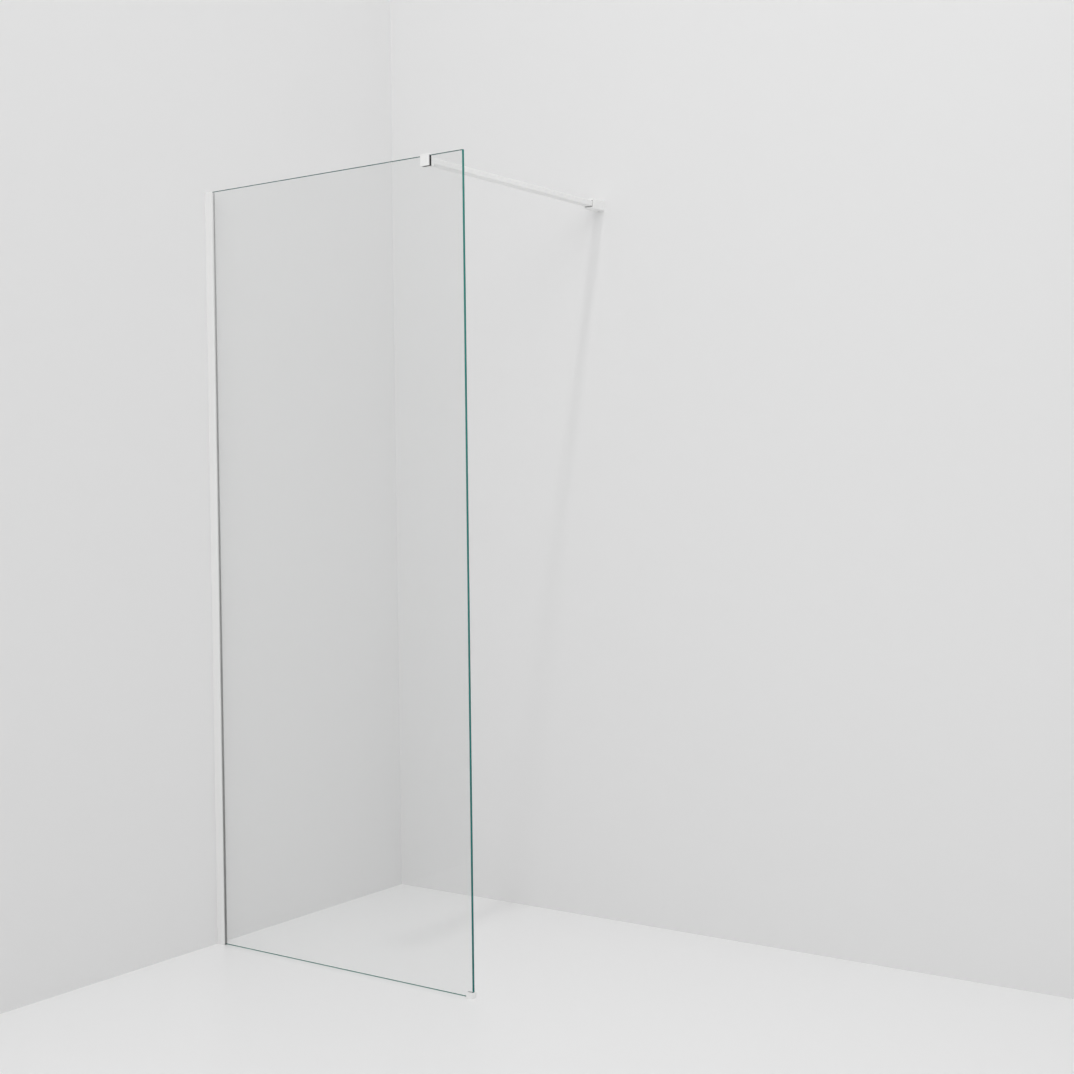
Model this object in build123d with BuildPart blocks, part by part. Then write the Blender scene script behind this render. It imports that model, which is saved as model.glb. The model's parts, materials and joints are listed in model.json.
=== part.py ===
"""Walk-in shower screen: one glass panel in a wall channel, held by a square bar to the rear wall.

X = 0 is the side wall, Y = 0 the middle of the glass and Z = 0 the floor.
+X runs along the glass to its free edge, +Y from the glass to the rear wall, +Z up.
All sizes are in millimetres.
"""
from build123d import *
import os

os.makedirs("parts", exist_ok=True)

# Whole screen
SCREEN_WIDTH = 900.0  # side wall to the free edge of the glass
SCREEN_HEIGHT = 2100.0  # floor to the top edge of the glass
BAR_REACH = 800.0  # middle of the glass to the rear wall
FREE_EDGE_TO_BAR = 116.0  # free edge of the glass to the middle of the bar

# Glass panel
GLASS_THICKNESS = 8.0
GLASS_FACE = GLASS_THICKNESS / 2
GLASS_UNDERSIDE = 2.0
GLASS_ARRIS = 1.2

# Wall channel, a U extrusion open towards +X
CHANNEL_DEPTH = 16.0
CHANNEL_WIDTH = 26.0
CHANNEL_WEB = 2.0
CHANNEL_FLANGE = 1.4
CHANNEL_EDGE_RADIUS = 0.5
CAP_THICKNESS = 2.0
CHANNEL_HEIGHT = SCREEN_HEIGHT - CAP_THICKNESS
CHANNEL_HALF = CHANNEL_DEPTH / 2
CHANNEL_CHAMBER = CHANNEL_HALF - CHANNEL_FLANGE
WALL_HOLE_HEIGHTS = (150.0, 750.0, 1350.0, 1950.0)
WALL_HOLE_RADIUS = 2.6

# Glazing channel, an H extrusion that telescopes in the wall channel
SLIDE_IN = 5.0
SLIDE_OUT = 8.0
GLAZING_START = 9.0
GLAZING_END = 28.0
GLAZING_WALL = 1.2
GLAZING_WEB_START = 14.5
GLAZING_HALF = CHANNEL_CHAMBER - 0.2
GLAZING_POCKET = GLAZING_HALF - GLAZING_WALL
GLAZING_FOOT = 1.0
GLAZING_TOP = CHANNEL_HEIGHT - 0.5
SNAP_RIB_START = 23.0
SNAP_RIB_WIDTH = 1.5
SNAP_RIB_HEIGHT = 0.4

# Glazing gasket
GASKET_BACK = 1.2
GASKET_LIP_REACH = 1.5
GASKET_LIP_HALF = GLAZING_HALF - 0.1

# Lock screws on the shower side of the channel, and the caps over them
LOCK_HEIGHTS = (250.0, 1050.0, 1850.0)
LOCK_X = (GLAZING_START + GLAZING_WEB_START) / 2
LOCK_SHANK_RADIUS = 1.95
LOCK_HEAD_RADIUS = 3.5
LOCK_HEAD_HEIGHT = 2.2
LOCK_LENGTH = 9.5
LOCK_POINT = 2.0
SLOT_WIDTH = 4.3
SLOT_LENGTH = SLIDE_IN + SLIDE_OUT + SLOT_WIDTH
SLOT_X = LOCK_X + (SLIDE_OUT - SLIDE_IN) / 2
COVER_LENGTH = 24.0
COVER_WIDTH = 11.0
COVER_HEIGHT = 3.4
COVER_WALL = 0.9
COVER_EDGE_CHAMFER = 0.8

# Setting block under the glass
SETTING_BLOCK_LENGTH = 11.0
SETTING_BLOCK_WIDTH = 9.0

# Shoe on the free bottom corner
SHOE_LENGTH = 20.0
SHOE_HEIGHT = 15.5
SHOE_FLOOR = 1.0
SHOE_END = 1.0
SHOE_EDGE_RADIUS = 0.7
SHOE_LINER = 1.2
SHOE_END_LINER = 0.5

# Support bar, a rectangular tube
BAR_WIDTH = 25.0
BAR_THICKNESS = 15.0
BAR_WALL = 1.5
BAR_CORNER_RADIUS = 1.5
BAR_UNDERSIDE = 2080.0
BAR_X = SCREEN_WIDTH - FREE_EDGE_TO_BAR
BAR_Z = BAR_UNDERSIDE + BAR_THICKNESS / 2
BAR_INSERTION = 30.0

# Clamp over the top edge of the glass
CLAMP_WIDTH = 27.0
CLAMP_UNDERSIDE = 2073.5
CLAMP_TOP = SCREEN_HEIGHT + 3.0
CLAMP_ROOF = 2.5
FRONT_JAW = 4.0
REAR_JAW = 10.0
PAD_THICKNESS = 1.5
PAD_CLEARANCE = 0.05
PAD_CORNER_RADIUS = 0.8
JAW_FACE = GLASS_FACE + PAD_CLEARANCE + PAD_THICKNESS
CLAMP_FRONT = -JAW_FACE - FRONT_JAW
CLAMP_REAR = JAW_FACE + REAR_JAW
CLAMP_EDGE_RADIUS = 0.9
PLATE_SIZE = 20.0
PLATE_THICKNESS = 1.2
PLATE_CLEARANCE = 0.3
PLATE_RECESS = PLATE_THICKNESS + 0.1
SPIGOT_CLEARANCE = 0.2
SPIGOT_LENGTH = 25.0
CLAMP_SCREW_RADIUS = 2.9
CLAMP_SCREW_LENGTH = 10.0
CLAMP_BORE_RADIUS = 3.0
BAR_SCREW_PLACES = (9.0, 19.0)  # from the near end of the bar
BAR_SCREW_RADIUS = 1.45
BAR_SCREW_HOLE = 1.6
BAR_SCREW_SINK = 2.8
BAR_SCREW_LENGTH = 4.4

# Sleeve block on the rear wall
BLOCK_WIDTH = 29.0
BLOCK_HEIGHT = 28.0
BLOCK_LENGTH = 60.0
BLOCK_FRONT = BAR_REACH - BLOCK_LENGTH
BLOCK_EDGE_RADIUS = 1.0
POCKET_WIDTH = 26.2
POCKET_HEIGHT = 18.0
POCKET_DEPTH = 45.0
BUSH_LENGTH = 20.0
BUSH_PLAY = 0.1
CAVITY_WIDTH = 25.4
CAVITY_HEIGHT = 20.4
CAVITY_DEPTH = 12.0
BRACKET_WIDTH = 25.0
BRACKET_HEIGHT = 20.0
BRACKET_PLATE = 3.0
BRACKET_SHELF = 2.5
BRACKET_DEPTH = 11.5
BRACKET_HOLE_SPACING = 12.0
BRACKET_HOLE_RADIUS = 2.1
BAR_SET_SCREW_RADIUS = 2.45
BAR_SET_SCREW_HOLE = 2.5
BAR_SET_SCREW_Y = BLOCK_FRONT + 12.0
BRACKET_SET_SCREW_RADIUS = 1.95
BRACKET_SET_SCREW_HOLE = 2.0
BRACKET_SET_SCREW_LENGTH = 5.0
BRACKET_SET_SCREW_Y = BAR_REACH - 6.5
SET_SCREW_SUNK = 0.4  # how far the set screws lie inside the underside of the block

# Socket set screws
SOCKET_DEPTH_SHARE = 0.4
SOCKET_RADIUS_SHARE = 0.55
SCREW_CHAMFER = 0.4


def along_y(y):
    """Plane across the bar at y, with its X along +X, its Y along +Z and its normal along +Y."""
    return Plane(origin=(BAR_X, y, BAR_Z), x_dir=(-1, 0, 0), z_dir=(0, 1, 0))


def from_below(y, z):
    """Plane at height z under the bar's middle line, with its normal along +Z."""
    return Plane(origin=(BAR_X, y, z))


def set_screw(plane, radius, length, socket_at_end):
    """Socket set screw that starts on the plane and runs along its normal."""
    with BuildPart() as screw:
        with BuildSketch(plane):
            Circle(radius)
        extrude(amount=length)
        chamfer(screw.edges().filter_by(GeomType.CIRCLE), SCREW_CHAMFER)
        socket_depth = length * SOCKET_DEPTH_SHARE
        start = length - socket_depth if socket_at_end else 0
        with BuildSketch(plane.offset(start)):
            RegularPolygon(radius * SOCKET_RADIUS_SHARE, 6)
        extrude(amount=socket_depth, mode=Mode.SUBTRACT)
    return screw.part


# Wall channel
with BuildPart() as wall_channel:
    with BuildSketch(Plane.XY) as channel_section:
        Rectangle(CHANNEL_WIDTH, CHANNEL_DEPTH, align=(Align.MIN, Align.CENTER))
        with Locations((CHANNEL_WEB, 0)):
            Rectangle(
                CHANNEL_WIDTH - CHANNEL_WEB,
                2 * CHANNEL_CHAMBER,
                align=(Align.MIN, Align.CENTER),
                mode=Mode.SUBTRACT,
            )
        fillet(channel_section.vertices().sort_by(Axis.Y)[:2], CHANNEL_EDGE_RADIUS)
        fillet(channel_section.vertices().sort_by(Axis.Y)[-2:], CHANNEL_EDGE_RADIUS)
    extrude(amount=CHANNEL_HEIGHT)
    # screw holes into the side wall
    with Locations(*[Location((CHANNEL_WEB, 0, z), (0, 90, 0)) for z in WALL_HOLE_HEIGHTS]):
        Hole(WALL_HOLE_RADIUS, CHANNEL_WEB)
    # slots in the rear flange, along which the lock screws are set
    with BuildSketch(Plane.XZ.offset(-CHANNEL_HALF)):
        with Locations(*[(SLOT_X, z) for z in LOCK_HEIGHTS]):
            SlotOverall(SLOT_LENGTH, SLOT_WIDTH)
    extrude(amount=CHANNEL_FLANGE, mode=Mode.SUBTRACT)
wall_channel.part.label = "wall_channel"
export_step(wall_channel.part, "parts/wall_channel.step")

# Top cap: a notched plate with a plug that stands against the channel's web
CAP_NOTCH_START = GLAZING_WEB_START + GLAZING_WALL + GASKET_BACK - SLIDE_IN - 0.4
CAP_NOTCH_HALF = GLASS_FACE + 0.4
CAP_PLUG_THICKNESS = 1.4
CAP_PLUG_LENGTH = 15.0
with BuildPart() as top_cap:
    with BuildSketch(Plane.XY.offset(CHANNEL_HEIGHT)) as cap_plate:
        Rectangle(CHANNEL_WIDTH, CHANNEL_DEPTH, align=(Align.MIN, Align.CENTER))
        fillet(cap_plate.vertices(), CHANNEL_EDGE_RADIUS)
        with Locations((CAP_NOTCH_START, 0)):
            Rectangle(
                CHANNEL_WIDTH,
                2 * CAP_NOTCH_HALF,
                align=(Align.MIN, Align.CENTER),
                mode=Mode.SUBTRACT,
            )
    extrude(amount=CAP_THICKNESS)
    with BuildSketch(Plane.XY.offset(CHANNEL_HEIGHT)):
        with Locations((CHANNEL_WEB, 0)):
            Rectangle(
                CAP_PLUG_THICKNESS,
                2 * CHANNEL_CHAMBER - 0.4,
                align=(Align.MIN, Align.CENTER),
            )
    extrude(amount=-CAP_PLUG_LENGTH)
    chamfer(top_cap.edges().group_by(Axis.Z)[0].filter_by(Axis.Y), CAP_PLUG_THICKNESS * 0.35)
top_cap.part.label = "top_cap"
export_step(top_cap.part, "parts/top_cap.step")

# Glazing channel: legs towards the wall, a web, and a pocket with snap ribs for the gasket
with BuildPart() as glazing_channel:
    with BuildSketch(Plane.XY.offset(GLAZING_FOOT)) as glazing_section:
        with Locations((GLAZING_START, 0)):
            Rectangle(
                GLAZING_END - GLAZING_START,
                2 * GLAZING_HALF,
                align=(Align.MIN, Align.CENTER),
            )
            Rectangle(
                GLAZING_WEB_START - GLAZING_START,
                2 * GLAZING_POCKET,
                align=(Align.MIN, Align.CENTER),
                mode=Mode.SUBTRACT,
            )
        with Locations((GLAZING_WEB_START + GLAZING_WALL, 0)):
            Rectangle(
                GLAZING_END - GLAZING_WEB_START - GLAZING_WALL,
                2 * GLAZING_POCKET,
                align=(Align.MIN, Align.CENTER),
                mode=Mode.SUBTRACT,
            )
        for side in (-1, 1):
            with Locations((SNAP_RIB_START, side * (GLAZING_POCKET - SNAP_RIB_HEIGHT / 2))):
                Rectangle(SNAP_RIB_WIDTH, SNAP_RIB_HEIGHT, align=(Align.MIN, Align.CENTER))
    extrude(amount=GLAZING_TOP - GLAZING_FOOT)
    with Locations(*[Location((LOCK_X, GLAZING_HALF, z), (-90, 0, 0)) for z in LOCK_HEIGHTS]):
        Hole(LOCK_SHANK_RADIUS + 0.05, GLAZING_WALL)
glazing_channel.part.label = "glazing_channel"
export_step(glazing_channel.part, "parts/glazing_channel.step")

# Glazing gasket: a U round the glass edge with a wiper lip over each channel edge
gasket_start = GLAZING_WEB_START + GLAZING_WALL
glass_start = gasket_start + GASKET_BACK
with BuildPart() as glazing_gasket:
    with BuildSketch(Plane.XY.offset(GLASS_UNDERSIDE)):
        with BuildLine():
            Polyline(
                (gasket_start, 0),
                (gasket_start, GLAZING_POCKET),
                (SNAP_RIB_START, GLAZING_POCKET),
                (SNAP_RIB_START, GLAZING_POCKET - SNAP_RIB_HEIGHT),
                (SNAP_RIB_START + SNAP_RIB_WIDTH, GLAZING_POCKET - SNAP_RIB_HEIGHT),
                (SNAP_RIB_START + SNAP_RIB_WIDTH, GLAZING_POCKET),
                (GLAZING_END, GLAZING_POCKET),
                (GLAZING_END, GASKET_LIP_HALF),
            )
            ThreePointArc(
                (GLAZING_END, GASKET_LIP_HALF),
                (GLAZING_END + GASKET_LIP_REACH * 0.75, GASKET_LIP_HALF - 0.65),
                (GLAZING_END + GASKET_LIP_REACH, GLASS_FACE),
            )
            Polyline(
                (GLAZING_END + GASKET_LIP_REACH, GLASS_FACE),
                (glass_start, GLASS_FACE),
                (glass_start, 0),
                (gasket_start, 0),
            )
        make_face()
        mirror(about=Plane.XZ)
    extrude(amount=GLAZING_TOP - GLASS_UNDERSIDE)
glazing_gasket.part.label = "glazing_gasket"
export_step(glazing_gasket.part, "parts/glazing_gasket.step")

# Lock screws: pan heads outside the rear flange, points inside the chamber
with BuildPart() as lock_screws:
    with BuildSketch(Plane.XZ.offset(-CHANNEL_HALF)) as screw_shanks:
        with Locations(*[(LOCK_X, z) for z in LOCK_HEIGHTS]):
            Circle(LOCK_SHANK_RADIUS)
    extrude(amount=LOCK_LENGTH)
    chamfer(
        lock_screws.edges().filter_by(GeomType.CIRCLE).group_by(Axis.Y)[0],
        LOCK_POINT,
        LOCK_SHANK_RADIUS * 0.8,
    )
    with BuildSketch(Plane.XZ.offset(-CHANNEL_HALF)):
        with Locations(*[(LOCK_X, z) for z in LOCK_HEIGHTS]):
            Circle(LOCK_HEAD_RADIUS)
    extrude(amount=-LOCK_HEAD_HEIGHT)
    chamfer(lock_screws.edges().filter_by(GeomType.CIRCLE).group_by(Axis.Y)[-1], 0.7)
    with BuildSketch(Plane.XZ.offset(-CHANNEL_HALF - LOCK_HEAD_HEIGHT)):
        with Locations(*[(LOCK_X, z) for z in LOCK_HEIGHTS]):
            Rectangle(3.2, 0.8)
            Rectangle(0.8, 3.2)
    extrude(amount=LOCK_HEAD_HEIGHT * 0.6, mode=Mode.SUBTRACT)
lock_screws.part.label = "lock_screws"
export_step(lock_screws.part, "parts/lock_screws.step")

# Slot covers: hollow oval caps that snap over the slots
with BuildPart() as slot_covers:
    with BuildSketch(Plane.XZ.offset(-CHANNEL_HALF)):
        with Locations(*[(SLOT_X, z) for z in LOCK_HEIGHTS]):
            SlotOverall(COVER_LENGTH, COVER_WIDTH)
    extrude(amount=-COVER_HEIGHT)
    chamfer(slot_covers.faces().group_by(Axis.Y)[-1].edges(), COVER_EDGE_CHAMFER)
    with BuildSketch(Plane.XZ.offset(-CHANNEL_HALF)):
        with Locations(*[(SLOT_X, z) for z in LOCK_HEIGHTS]):
            SlotOverall(COVER_LENGTH - 2 * COVER_WALL, COVER_WIDTH - 2 * COVER_WALL)
    extrude(amount=-(COVER_HEIGHT - COVER_WALL), mode=Mode.SUBTRACT)
slot_covers.part.label = "slot_covers"
export_step(slot_covers.part, "parts/slot_covers.step")

# Glass panel with polished edges
with BuildPart() as glass_panel:
    with BuildSketch(Plane.XY.offset(GLASS_UNDERSIDE)):
        with Locations((glass_start, 0)):
            Rectangle(
                SCREEN_WIDTH - glass_start,
                GLASS_THICKNESS,
                align=(Align.MIN, Align.CENTER),
            )
    extrude(amount=SCREEN_HEIGHT - GLASS_UNDERSIDE)
    front_and_back = glass_panel.faces().filter_by(Axis.Y)
    chamfer(front_and_back.edges(), GLASS_ARRIS)
glass_panel.part.label = "glass_panel"
export_step(glass_panel.part, "parts/glass_panel.step")

# Setting block
with BuildPart() as setting_block:
    with BuildSketch(Plane.XY) as block_outline:
        with Locations((glass_start, 0)):
            Rectangle(
                SETTING_BLOCK_LENGTH,
                SETTING_BLOCK_WIDTH,
                align=(Align.MIN, Align.CENTER),
            )
        fillet(block_outline.vertices(), 1.0)
    extrude(amount=GLASS_UNDERSIDE)
setting_block.part.label = "setting_block"
export_step(setting_block.part, "parts/setting_block.step")

# Corner shoe and its liner
shoe_pocket_end = SCREEN_WIDTH + SHOE_END_LINER
shoe_end = shoe_pocket_end + SHOE_END
shoe_start = shoe_end - SHOE_LENGTH
with BuildPart() as corner_shoe:
    with BuildSketch(Plane.XY):
        with Locations((shoe_start, 0)):
            Rectangle(SHOE_LENGTH, CHANNEL_DEPTH, align=(Align.MIN, Align.CENTER))
    extrude(amount=SHOE_HEIGHT)
    fillet(corner_shoe.edges().filter_by(Axis.Z), SHOE_EDGE_RADIUS)
    fillet(corner_shoe.edges().group_by(Axis.Z)[-1], SHOE_EDGE_RADIUS)
    with BuildSketch(Plane.XY.offset(SHOE_FLOOR)):
        with Locations((shoe_pocket_end, 0)):
            Rectangle(
                SHOE_LENGTH,
                2 * (GLASS_FACE + SHOE_LINER),
                align=(Align.MAX, Align.CENTER),
            )
    extrude(amount=SHOE_HEIGHT, mode=Mode.SUBTRACT)
corner_shoe.part.label = "corner_shoe"
export_step(corner_shoe.part, "parts/corner_shoe.step")

with BuildPart() as shoe_liner:
    with BuildSketch(Plane.XY.offset(SHOE_FLOOR)):
        with Locations((shoe_pocket_end, 0)):
            Rectangle(
                shoe_pocket_end - shoe_start,
                2 * (GLASS_FACE + SHOE_LINER),
                align=(Align.MAX, Align.CENTER),
            )
    extrude(amount=SHOE_HEIGHT - SHOE_FLOOR)
    with BuildSketch(Plane.XY.offset(GLASS_UNDERSIDE)):
        with Locations((SCREEN_WIDTH, 0)):
            Rectangle(SHOE_LENGTH, GLASS_THICKNESS, align=(Align.MAX, Align.CENTER))
    extrude(amount=SHOE_HEIGHT, mode=Mode.SUBTRACT)
shoe_liner.part.label = "shoe_liner"
export_step(shoe_liner.part, "parts/shoe_liner.step")

# Clamp body: an upturned U over the glass with a spigot for the bar
with BuildPart() as clamp_body:
    with BuildSketch(Plane.YZ.offset(BAR_X)):
        with Locations((CLAMP_FRONT, CLAMP_UNDERSIDE)):
            Rectangle(
                CLAMP_REAR - CLAMP_FRONT,
                CLAMP_TOP - CLAMP_UNDERSIDE,
                align=(Align.MIN, Align.MIN),
            )
    extrude(amount=CLAMP_WIDTH / 2, both=True)
    fillet(clamp_body.edges(), CLAMP_EDGE_RADIUS)
    # slot for the glass and its pads
    with BuildSketch(Plane.YZ.offset(BAR_X)):
        with Locations((0, CLAMP_UNDERSIDE)):
            Rectangle(
                2 * JAW_FACE,
                CLAMP_TOP - CLAMP_ROOF - CLAMP_UNDERSIDE,
                align=(Align.CENTER, Align.MIN),
            )
    extrude(amount=CLAMP_WIDTH / 2, both=True, mode=Mode.SUBTRACT)
    # recess for the pressure plate
    with BuildSketch(along_y(JAW_FACE)):
        Rectangle(PLATE_SIZE + 2 * PLATE_CLEARANCE, PLATE_SIZE + 2 * PLATE_CLEARANCE)
    extrude(amount=PLATE_RECESS, mode=Mode.SUBTRACT)
    # spigot inside the bar
    with BuildSketch(along_y(CLAMP_REAR)) as spigot_section:
        Rectangle(
            BAR_WIDTH - 2 * (BAR_WALL + SPIGOT_CLEARANCE),
            BAR_THICKNESS - 2 * (BAR_WALL + SPIGOT_CLEARANCE),
        )
        fillet(spigot_section.vertices(), 1.0)
    extrude(amount=SPIGOT_LENGTH)
    chamfer(clamp_body.faces().group_by(Axis.Y)[-1].edges(), 0.8)
    # bore for the clamp screw, right through the spigot
    with BuildSketch(along_y(JAW_FACE + PLATE_RECESS)):
        Circle(CLAMP_BORE_RADIUS)
    extrude(amount=CLAMP_REAR + SPIGOT_LENGTH, mode=Mode.SUBTRACT)
    # tapped holes for the bar's screws
    for place in BAR_SCREW_PLACES:
        with BuildSketch(from_below(CLAMP_REAR + place, BAR_UNDERSIDE)):
            Circle(BAR_SCREW_RADIUS + 0.05)
        extrude(amount=BAR_THICKNESS / 2, mode=Mode.SUBTRACT)
clamp_body.part.label = "clamp_body"
export_step(clamp_body.part, "parts/clamp_body.step")


def clamp_pad(near_face):
    """Rubber pad as large as the jaws, from near_face away from the jaw slot's front."""
    pad_height = SCREEN_HEIGHT - CLAMP_UNDERSIDE
    with BuildPart() as pad:
        pad_plane = Plane(
            origin=(BAR_X, near_face, CLAMP_UNDERSIDE + pad_height / 2),
            x_dir=(-1, 0, 0),
            z_dir=(0, 1, 0),
        )
        with BuildSketch(pad_plane) as outline:
            Rectangle(CLAMP_WIDTH, pad_height)
            fillet(outline.vertices(), PAD_CORNER_RADIUS)
        extrude(amount=PAD_THICKNESS)
    return pad.part


clamp_pad_front = clamp_pad(-JAW_FACE)
clamp_pad_front.label = "clamp_pad_front"
export_step(clamp_pad_front, "parts/clamp_pad_front.step")

clamp_pad_rear = clamp_pad(JAW_FACE - PAD_THICKNESS)
clamp_pad_rear.label = "clamp_pad_rear"
export_step(clamp_pad_rear, "parts/clamp_pad_rear.step")

# Pressure plate behind the rear pad
with BuildPart() as pressure_plate:
    with BuildSketch(along_y(JAW_FACE)) as plate_outline:
        Rectangle(PLATE_SIZE, PLATE_SIZE)
        fillet(plate_outline.vertices(), 2.0)
    extrude(amount=PLATE_THICKNESS)
pressure_plate.part.label = "pressure_plate"
export_step(pressure_plate.part, "parts/pressure_plate.step")

# Clamp screw, set through the hollow spigot before the bar goes on
clamp_set_screw = set_screw(
    along_y(JAW_FACE + PLATE_THICKNESS), CLAMP_SCREW_RADIUS, CLAMP_SCREW_LENGTH, True
)
clamp_set_screw.label = "clamp_set_screw"
export_step(clamp_set_screw, "parts/clamp_set_screw.step")

# Support bar
bar_end = BLOCK_FRONT + BAR_INSERTION
with BuildPart() as support_bar:
    with BuildSketch(along_y(CLAMP_REAR)) as tube_section:
        Rectangle(BAR_WIDTH, BAR_THICKNESS)
        fillet(tube_section.vertices(), BAR_CORNER_RADIUS)
        Rectangle(
            BAR_WIDTH - 2 * BAR_WALL,
            BAR_THICKNESS - 2 * BAR_WALL,
            mode=Mode.SUBTRACT,
        )
    extrude(amount=bar_end - CLAMP_REAR)
    screw_places = [CLAMP_REAR + place for place in BAR_SCREW_PLACES]
    with Locations(*[Location((BAR_X, y, BAR_UNDERSIDE), (180, 0, 0)) for y in screw_places]):
        CounterSinkHole(BAR_SCREW_HOLE, BAR_SCREW_SINK, BAR_WALL)
support_bar.part.label = "support_bar"
export_step(support_bar.part, "parts/support_bar.step")

# Countersunk screws that hold the bar on the spigot
with BuildPart() as bar_fixing_screws:
    for place in BAR_SCREW_PLACES:
        y = CLAMP_REAR + place
        with BuildSketch(from_below(y, BAR_UNDERSIDE)):
            Circle(BAR_SCREW_RADIUS)
        extrude(amount=BAR_SCREW_LENGTH)
        with BuildSketch(from_below(y, BAR_UNDERSIDE)):
            Circle(BAR_SCREW_SINK - 0.1)
        extrude(amount=BAR_SCREW_SINK - BAR_SCREW_HOLE, taper=45)
        with BuildSketch(from_below(y, BAR_UNDERSIDE)):
            RegularPolygon(1.0, 6)
        extrude(amount=1.4, mode=Mode.SUBTRACT)
bar_fixing_screws.part.label = "bar_fixing_screws"
export_step(bar_fixing_screws.part, "parts/bar_fixing_screws.step")

# Sleeve block on the rear wall
with BuildPart() as wall_block:
    with BuildSketch(along_y(BLOCK_FRONT)) as block_section:
        Rectangle(BLOCK_WIDTH, BLOCK_HEIGHT)
        fillet(block_section.vertices(), BLOCK_EDGE_RADIUS)
    extrude(amount=BLOCK_LENGTH)
    chamfer(wall_block.faces().group_by(Axis.Y)[0].edges(), 0.5)
    # pocket for the bar and its bush
    with BuildSketch(along_y(BLOCK_FRONT)):
        Rectangle(POCKET_WIDTH, POCKET_HEIGHT)
    extrude(amount=POCKET_DEPTH, mode=Mode.SUBTRACT)
    # cavity for the hidden bracket
    with BuildSketch(along_y(BAR_REACH - CAVITY_DEPTH)):
        Rectangle(CAVITY_WIDTH, CAVITY_HEIGHT)
    extrude(amount=CAVITY_DEPTH, mode=Mode.SUBTRACT)
    # tapped holes in the underside
    for y, radius in (
        (BAR_SET_SCREW_Y, BAR_SET_SCREW_HOLE),
        (BRACKET_SET_SCREW_Y, BRACKET_SET_SCREW_HOLE),
    ):
        with BuildSketch(from_below(y, BAR_Z - BLOCK_HEIGHT / 2)):
            Circle(radius)
        extrude(amount=BLOCK_HEIGHT / 2, mode=Mode.SUBTRACT)
wall_block.part.label = "wall_block"
export_step(wall_block.part, "parts/wall_block.step")

# Bush in the mouth of the sleeve
with BuildPart() as bar_bush:
    with BuildSketch(along_y(BLOCK_FRONT)):
        Rectangle(POCKET_WIDTH, POCKET_HEIGHT)
        Rectangle(
            BAR_WIDTH + 2 * BUSH_PLAY,
            BAR_THICKNESS + 2 * BUSH_PLAY,
            mode=Mode.SUBTRACT,
        )
    extrude(amount=BUSH_LENGTH)
    with BuildSketch(from_below(BAR_SET_SCREW_Y, BAR_Z - POCKET_HEIGHT / 2)):
        Circle(BAR_SET_SCREW_HOLE + 0.2)
    extrude(amount=POCKET_HEIGHT / 2, mode=Mode.SUBTRACT)
bar_bush.part.label = "bar_bush"
export_step(bar_bush.part, "parts/bar_bush.step")

# Set screw that holds the bar in the sleeve
block_underside = BAR_Z - BLOCK_HEIGHT / 2
bar_set_screw = set_screw(
    from_below(BAR_SET_SCREW_Y, block_underside + SET_SCREW_SUNK),
    BAR_SET_SCREW_RADIUS,
    BAR_UNDERSIDE - 0.05 - block_underside - SET_SCREW_SUNK,
    False,
)
bar_set_screw.label = "bar_set_screw"
export_step(bar_set_screw, "parts/bar_set_screw.step")

# Wall bracket: a plate with two screw holes, between two shelves that carry the sleeve
with BuildPart() as wall_bracket:
    with BuildSketch(along_y(BAR_REACH - BRACKET_DEPTH)):
        Rectangle(BRACKET_WIDTH, BRACKET_HEIGHT)
        Rectangle(BRACKET_WIDTH, BRACKET_HEIGHT - 2 * BRACKET_SHELF, mode=Mode.SUBTRACT)
    extrude(amount=BRACKET_DEPTH)
    with BuildSketch(along_y(BAR_REACH - BRACKET_PLATE)):
        Rectangle(BRACKET_WIDTH, BRACKET_HEIGHT)
    extrude(amount=BRACKET_PLATE)
    with Locations(Location((BAR_X, BAR_REACH, BAR_Z), (-90, 0, 0))):
        with GridLocations(BRACKET_HOLE_SPACING, 1, 2, 1):
            Hole(BRACKET_HOLE_RADIUS, BRACKET_PLATE)
    with BuildSketch(from_below(BRACKET_SET_SCREW_Y, BAR_Z - BRACKET_HEIGHT / 2)):
        Circle(BRACKET_SET_SCREW_HOLE + 0.1)
    extrude(amount=BRACKET_SHELF, mode=Mode.SUBTRACT)
wall_bracket.part.label = "wall_bracket"
export_step(wall_bracket.part, "parts/wall_bracket.step")

# Set screw that holds the sleeve on the bracket
bracket_set_screw = set_screw(
    from_below(BRACKET_SET_SCREW_Y, block_underside + SET_SCREW_SUNK),
    BRACKET_SET_SCREW_RADIUS,
    BRACKET_SET_SCREW_LENGTH,
    False,
)
bracket_set_screw.label = "bracket_set_screw"
export_step(bracket_set_screw, "parts/bracket_set_screw.step")
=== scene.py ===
"""Looks of a walk-in shower screen: glass, seals, finishes, and a plain pale corner behind it."""

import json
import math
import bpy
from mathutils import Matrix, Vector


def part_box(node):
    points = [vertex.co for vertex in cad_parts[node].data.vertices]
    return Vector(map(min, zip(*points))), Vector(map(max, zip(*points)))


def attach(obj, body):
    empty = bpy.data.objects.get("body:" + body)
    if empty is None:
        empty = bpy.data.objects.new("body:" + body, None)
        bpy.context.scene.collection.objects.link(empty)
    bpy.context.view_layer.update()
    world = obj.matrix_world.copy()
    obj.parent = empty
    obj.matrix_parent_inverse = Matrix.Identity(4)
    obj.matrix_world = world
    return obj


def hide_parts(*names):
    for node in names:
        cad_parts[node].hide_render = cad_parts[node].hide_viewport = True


bl_info = {
    "name": "Walk-in shower screen",
    "version": (1, 0, 0),
    "blender": (4, 5, 0),
    "location": "View3D > Sidebar > Shower screen",
    "description": "Glass, seals and finishes of a walk-in shower screen, with a plain stage",
    "category": "Object",
}

import bmesh
import bpy
from bpy.props import FloatProperty, FloatVectorProperty, PointerProperty
from mathutils import Matrix, Vector

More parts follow.
